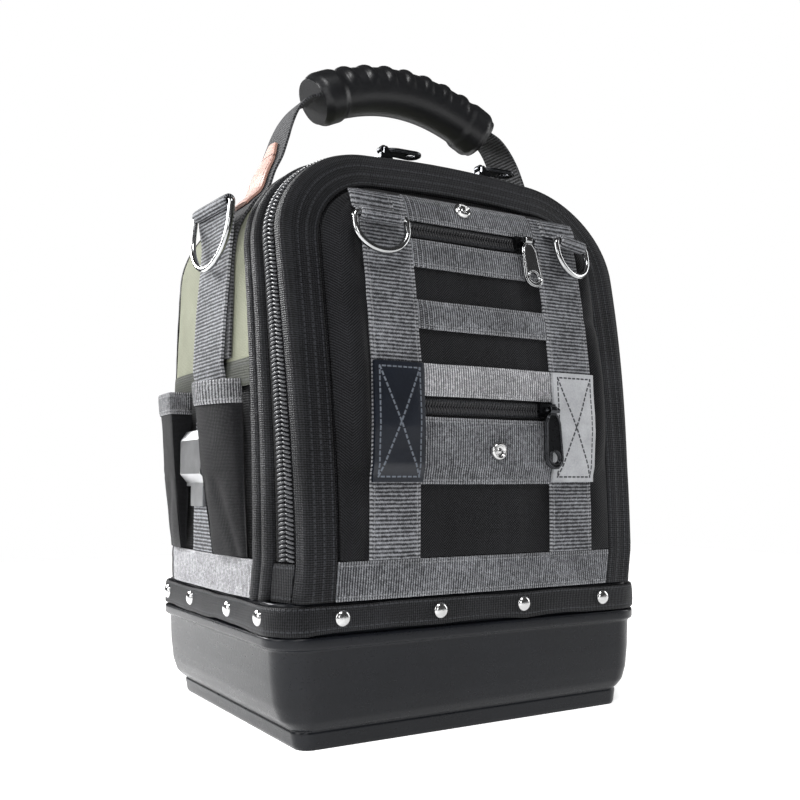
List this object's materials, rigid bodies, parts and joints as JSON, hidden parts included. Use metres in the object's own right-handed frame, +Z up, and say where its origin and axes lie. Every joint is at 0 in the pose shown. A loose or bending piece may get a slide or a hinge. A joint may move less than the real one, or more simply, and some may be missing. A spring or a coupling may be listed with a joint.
{
  "type": "tool backpack",
  "caption": "Upright soft tool backpack on a moulded base tub, with a top grip, webbed front pocket, side pockets, ring loops and a zipped main compartment.",
  "frame": {"origin": "centre of the underside of the base tub's foot", "axes": "+Z up, the front with the webbed pocket faces -Y, +X is to the right when looking along +Y at the front"},
  "size_m": [0.2855, 0.2267, 0.4265],
  "materials": {
    "moulded_tub": "satin moulded",
    "black_cloth": "heavy woven",
    "olive_canvas": "fine canvas",
    "grey_webbing": "ribbed webbing",
    "light_webbing": "ribbed webbing",
    "black_webbing": "ribbed webbing",
    "black_leather": "smooth, stitched",
    "tan_leather": "smooth",
    "polished_steel": "polished",
    "zip_coil": "toothed coil",
    "grip_rubber": "moulded with finger ribs"
  },
  "bodies": {
    "bag": {"base_tub": "moulded_tub", "skirt_strip": "black_cloth", "bag_wall": "black_cloth", "front_panel": "black_cloth", "back_panel": "black_cloth", "front_binding": "black_cloth", "back_binding": "black_cloth", "front_piping": "black_cloth", "front_tab_left": "black_cloth", "back_tab_left": "black_cloth", "front_tab_right": "black_cloth", "back_tab_right": "black_cloth", "front_pocket": "black_cloth", "side_pocket_front": "black_cloth", "side_pocket_rear": "black_cloth", "canvas_panel": "olive_canvas", "front_band": "grey_webbing", "back_band": "grey_webbing", "front_strap_left": "grey_webbing", "front_strap_right": "grey_webbing", "web_row_1": "grey_webbing", "web_row_2": "grey_webbing", "web_row_3": "grey_webbing", "web_row_5": "grey_webbing", "front_ring_tab_left": "grey_webbing", "front_ring_tab_right": "grey_webbing", "side_strap_left": "grey_webbing", "side_strap_right": "grey_webbing", "left_band": "light_webbing", "right_band": "light_webbing", "web_row_4": "light_webbing", "handle_strap_left": "black_webbing", "handle_strap_right": "black_webbing", "front_patch_left": "black_leather", "front_patch_right": "black_leather", "handle_patch_left": "tan_leather", "handle_patch_right": "tan_leather", "snap_upper": "polished_steel", "snap_lower": "polished_steel", "tape_clip": "polished_steel", "pocket_slider_upper": "polished_steel", "pocket_slider_lower": "polished_steel", "main_slider_left": "polished_steel", "main_slider_right": "polished_steel", "front_zip": "zip_coil", "pocket_zip_upper": "zip_coil", "pocket_zip_lower": "zip_coil", "handle_grip": "grip_rubber"},
    "pocket_pull_upper": {"pocket_pull_upper": "polished_steel"},
    "pocket_pull_lower": {"pocket_pull_lower": "polished_steel"},
    "main_pull_left": {"main_pull_left": "polished_steel"},
    "main_pull_right": {"main_pull_right": "polished_steel"},
    "front_ring_left": {"front_ring_left": "polished_steel"},
    "front_ring_right": {"front_ring_right": "polished_steel"},
    "side_ring_left": {"side_ring_left": "polished_steel"},
    "side_ring_right": {"side_ring_right": "polished_steel"}
  },
  "joints": [
    {"name": "pocket_pull_upper_hinge", "type": "hinge", "parent": "bag", "child": "pocket_pull_upper", "pos_m": [0.034, -0.10505, 0.28995], "axis": [1, 0, 0], "range_deg": [-80, 0]},
    {"name": "pocket_pull_lower_hinge", "type": "hinge", "parent": "bag", "child": "pocket_pull_lower", "pos_m": [0.04, -0.11915, 0.1843], "axis": [1, 0, 0], "range_deg": [-80, 0]},
    {"name": "main_pull_left_hinge", "type": "hinge", "parent": "bag", "child": "main_pull_left", "pos_m": [-0.042, -0.0578, 0.34812], "axis": [0, 1, 0], "range_deg": [-100, 0]},
    {"name": "main_pull_right_hinge", "type": "hinge", "parent": "bag", "child": "main_pull_right", "pos_m": [0.032, -0.0578, 0.34812], "axis": [0, 1, 0], "range_deg": [-100, 0]},
    {"name": "front_ring_left_hinge", "type": "hinge", "parent": "bag", "child": "front_ring_left", "pos_m": [-0.07, -0.10496, 0.291], "axis": [1, 0, 0], "range_deg": [-60, 0]},
    {"name": "front_ring_right_hinge", "type": "hinge", "parent": "bag", "child": "front_ring_right", "pos_m": [0.0665, -0.10746, 0.291], "axis": [0.9553, 0.2955, 0], "range_deg": [-60, 0]},
    {"name": "side_ring_left_hinge", "type": "hinge", "parent": "bag", "child": "side_ring_left", "pos_m": [-0.1343, -0.01, 0.309], "axis": [0.0699, -0.9976, 0], "range_deg": [-80, 0]},
    {"name": "side_ring_right_hinge", "type": "hinge", "parent": "bag", "child": "side_ring_right", "pos_m": [0.1343, -0.01, 0.309], "axis": [0.0699, 0.9976, 0], "range_deg": [-80, 0]}
  ]
}
